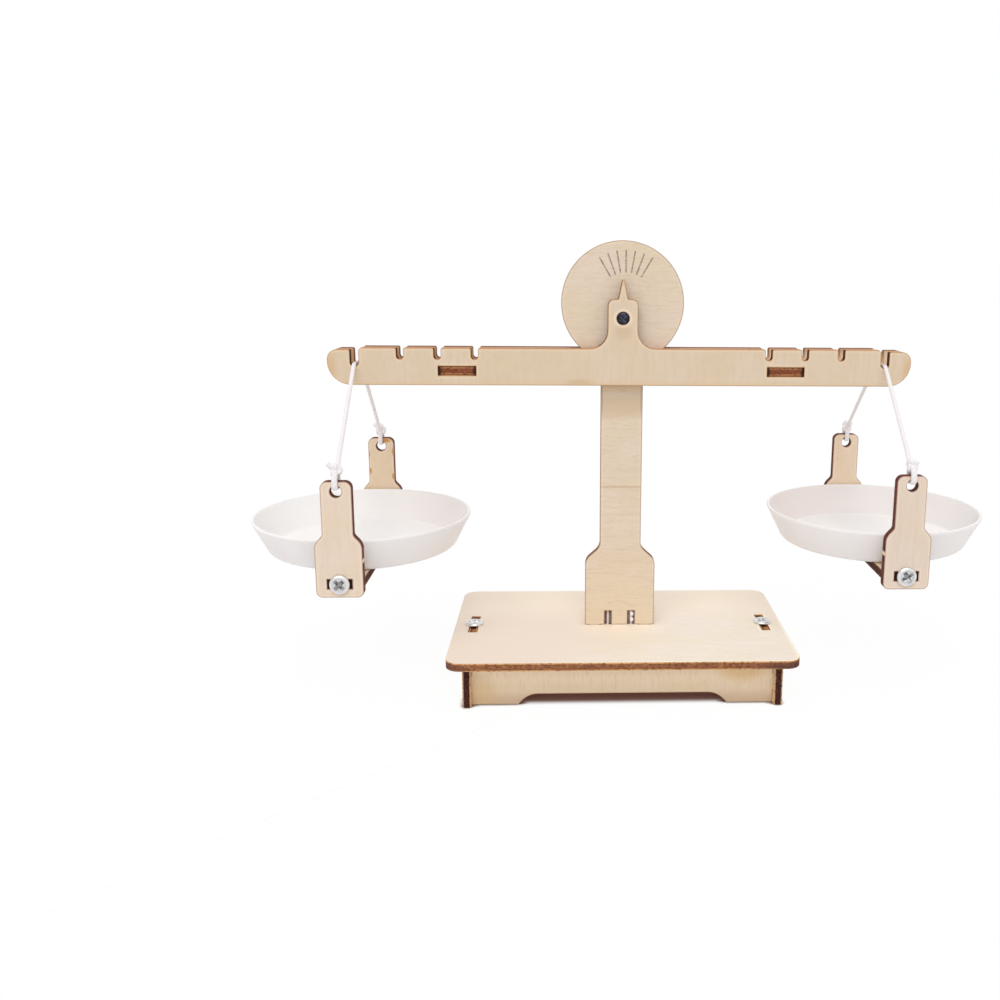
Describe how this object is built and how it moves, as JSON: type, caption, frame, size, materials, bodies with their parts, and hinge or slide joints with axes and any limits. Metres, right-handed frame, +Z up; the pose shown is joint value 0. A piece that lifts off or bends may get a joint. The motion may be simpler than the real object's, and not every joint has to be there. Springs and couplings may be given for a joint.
{
  "type": "wooden balance scale toy",
  "caption": "Toy balance of laser-cut plywood: a notched beam with a pointer tips on an axle through a post with a dial and carries two hanging pans.",
  "frame": {"origin": "on the table under the middle of the base, which is the bottom centre of the whole part with its beam level", "axes": "+X along the beam to the right as seen from the dial's side, +Y to the back, +Z up"},
  "size_m": [0.208, 0.0684, 0.125],
  "materials": {
    "plywood": "bare sanded ply with laser-burnt edges",
    "plated_steel": "bright zinc plating",
    "black_pin": "smooth black",
    "white_plastic": "thin translucent white, soft sheen",
    "cotton": "twisted white cotton string"
  },
  "bodies": {
    "stand": {"base_top": "plywood", "base_left_side": "plywood", "base_right_side": "plywood", "base_front": "plywood", "base_back": "plywood", "base_screws": "plated_steel", "base_nuts": "plated_steel", "post": "plywood", "left_gusset": "plywood", "right_gusset": "plywood"},
    "beam": {"beam_front_plate": "plywood", "beam_rear_plate": "plywood", "beam_left_spacer": "plywood", "beam_right_spacer": "plywood", "axle": "black_pin"},
    "left_string": {"left_string": "cotton", "left_knots": "cotton"},
    "right_string": {"right_string": "cotton", "right_knots": "cotton"},
    "left_pan": {"left_front_hanger": "plywood", "left_rear_hanger": "plywood", "left_crossbar": "plywood", "left_dish": "white_plastic", "left_pan_screws": "plated_steel", "left_pan_nuts": "plated_steel"},
    "right_pan": {"right_front_hanger": "plywood", "right_rear_hanger": "plywood", "right_crossbar": "plywood", "right_dish": "white_plastic", "right_pan_screws": "plated_steel", "right_pan_nuts": "plated_steel"}
  },
  "joints": [
    {"name": "beam_tilt", "type": "hinge", "parent": "stand", "child": "beam", "pos_m": [0, 0, 0.104], "axis": [0, 1, 0], "range_deg": [-15, 15]},
    {"name": "left_string_swing", "type": "hinge", "parent": "beam", "child": "left_string", "pos_m": [-0.0736, 0, 0.0912], "axis": [0, 1, 0], "range_deg": [-15, 15]},
    {"name": "right_string_swing", "type": "hinge", "parent": "beam", "child": "right_string", "pos_m": [0.0736, 0, 0.0912], "axis": [0, 1, 0], "range_deg": [-15, 15]},
    {"name": "left_pan_rock", "type": "hinge", "parent": "left_string", "child": "left_pan", "pos_m": [-0.0736, 0, 0.0628], "axis": [0, 1, 0], "range_deg": [-8, 8]},
    {"name": "right_pan_rock", "type": "hinge", "parent": "right_string", "child": "right_pan", "pos_m": [0.0736, 0, 0.0642], "axis": [0, 1, 0], "range_deg": [-8, 8]}
  ],
  "couplings": [
    {"joint": "left_string_swing", "follows": "beam_tilt", "ratio": -1},
    {"joint": "right_string_swing", "follows": "beam_tilt", "ratio": -1}
  ]
}
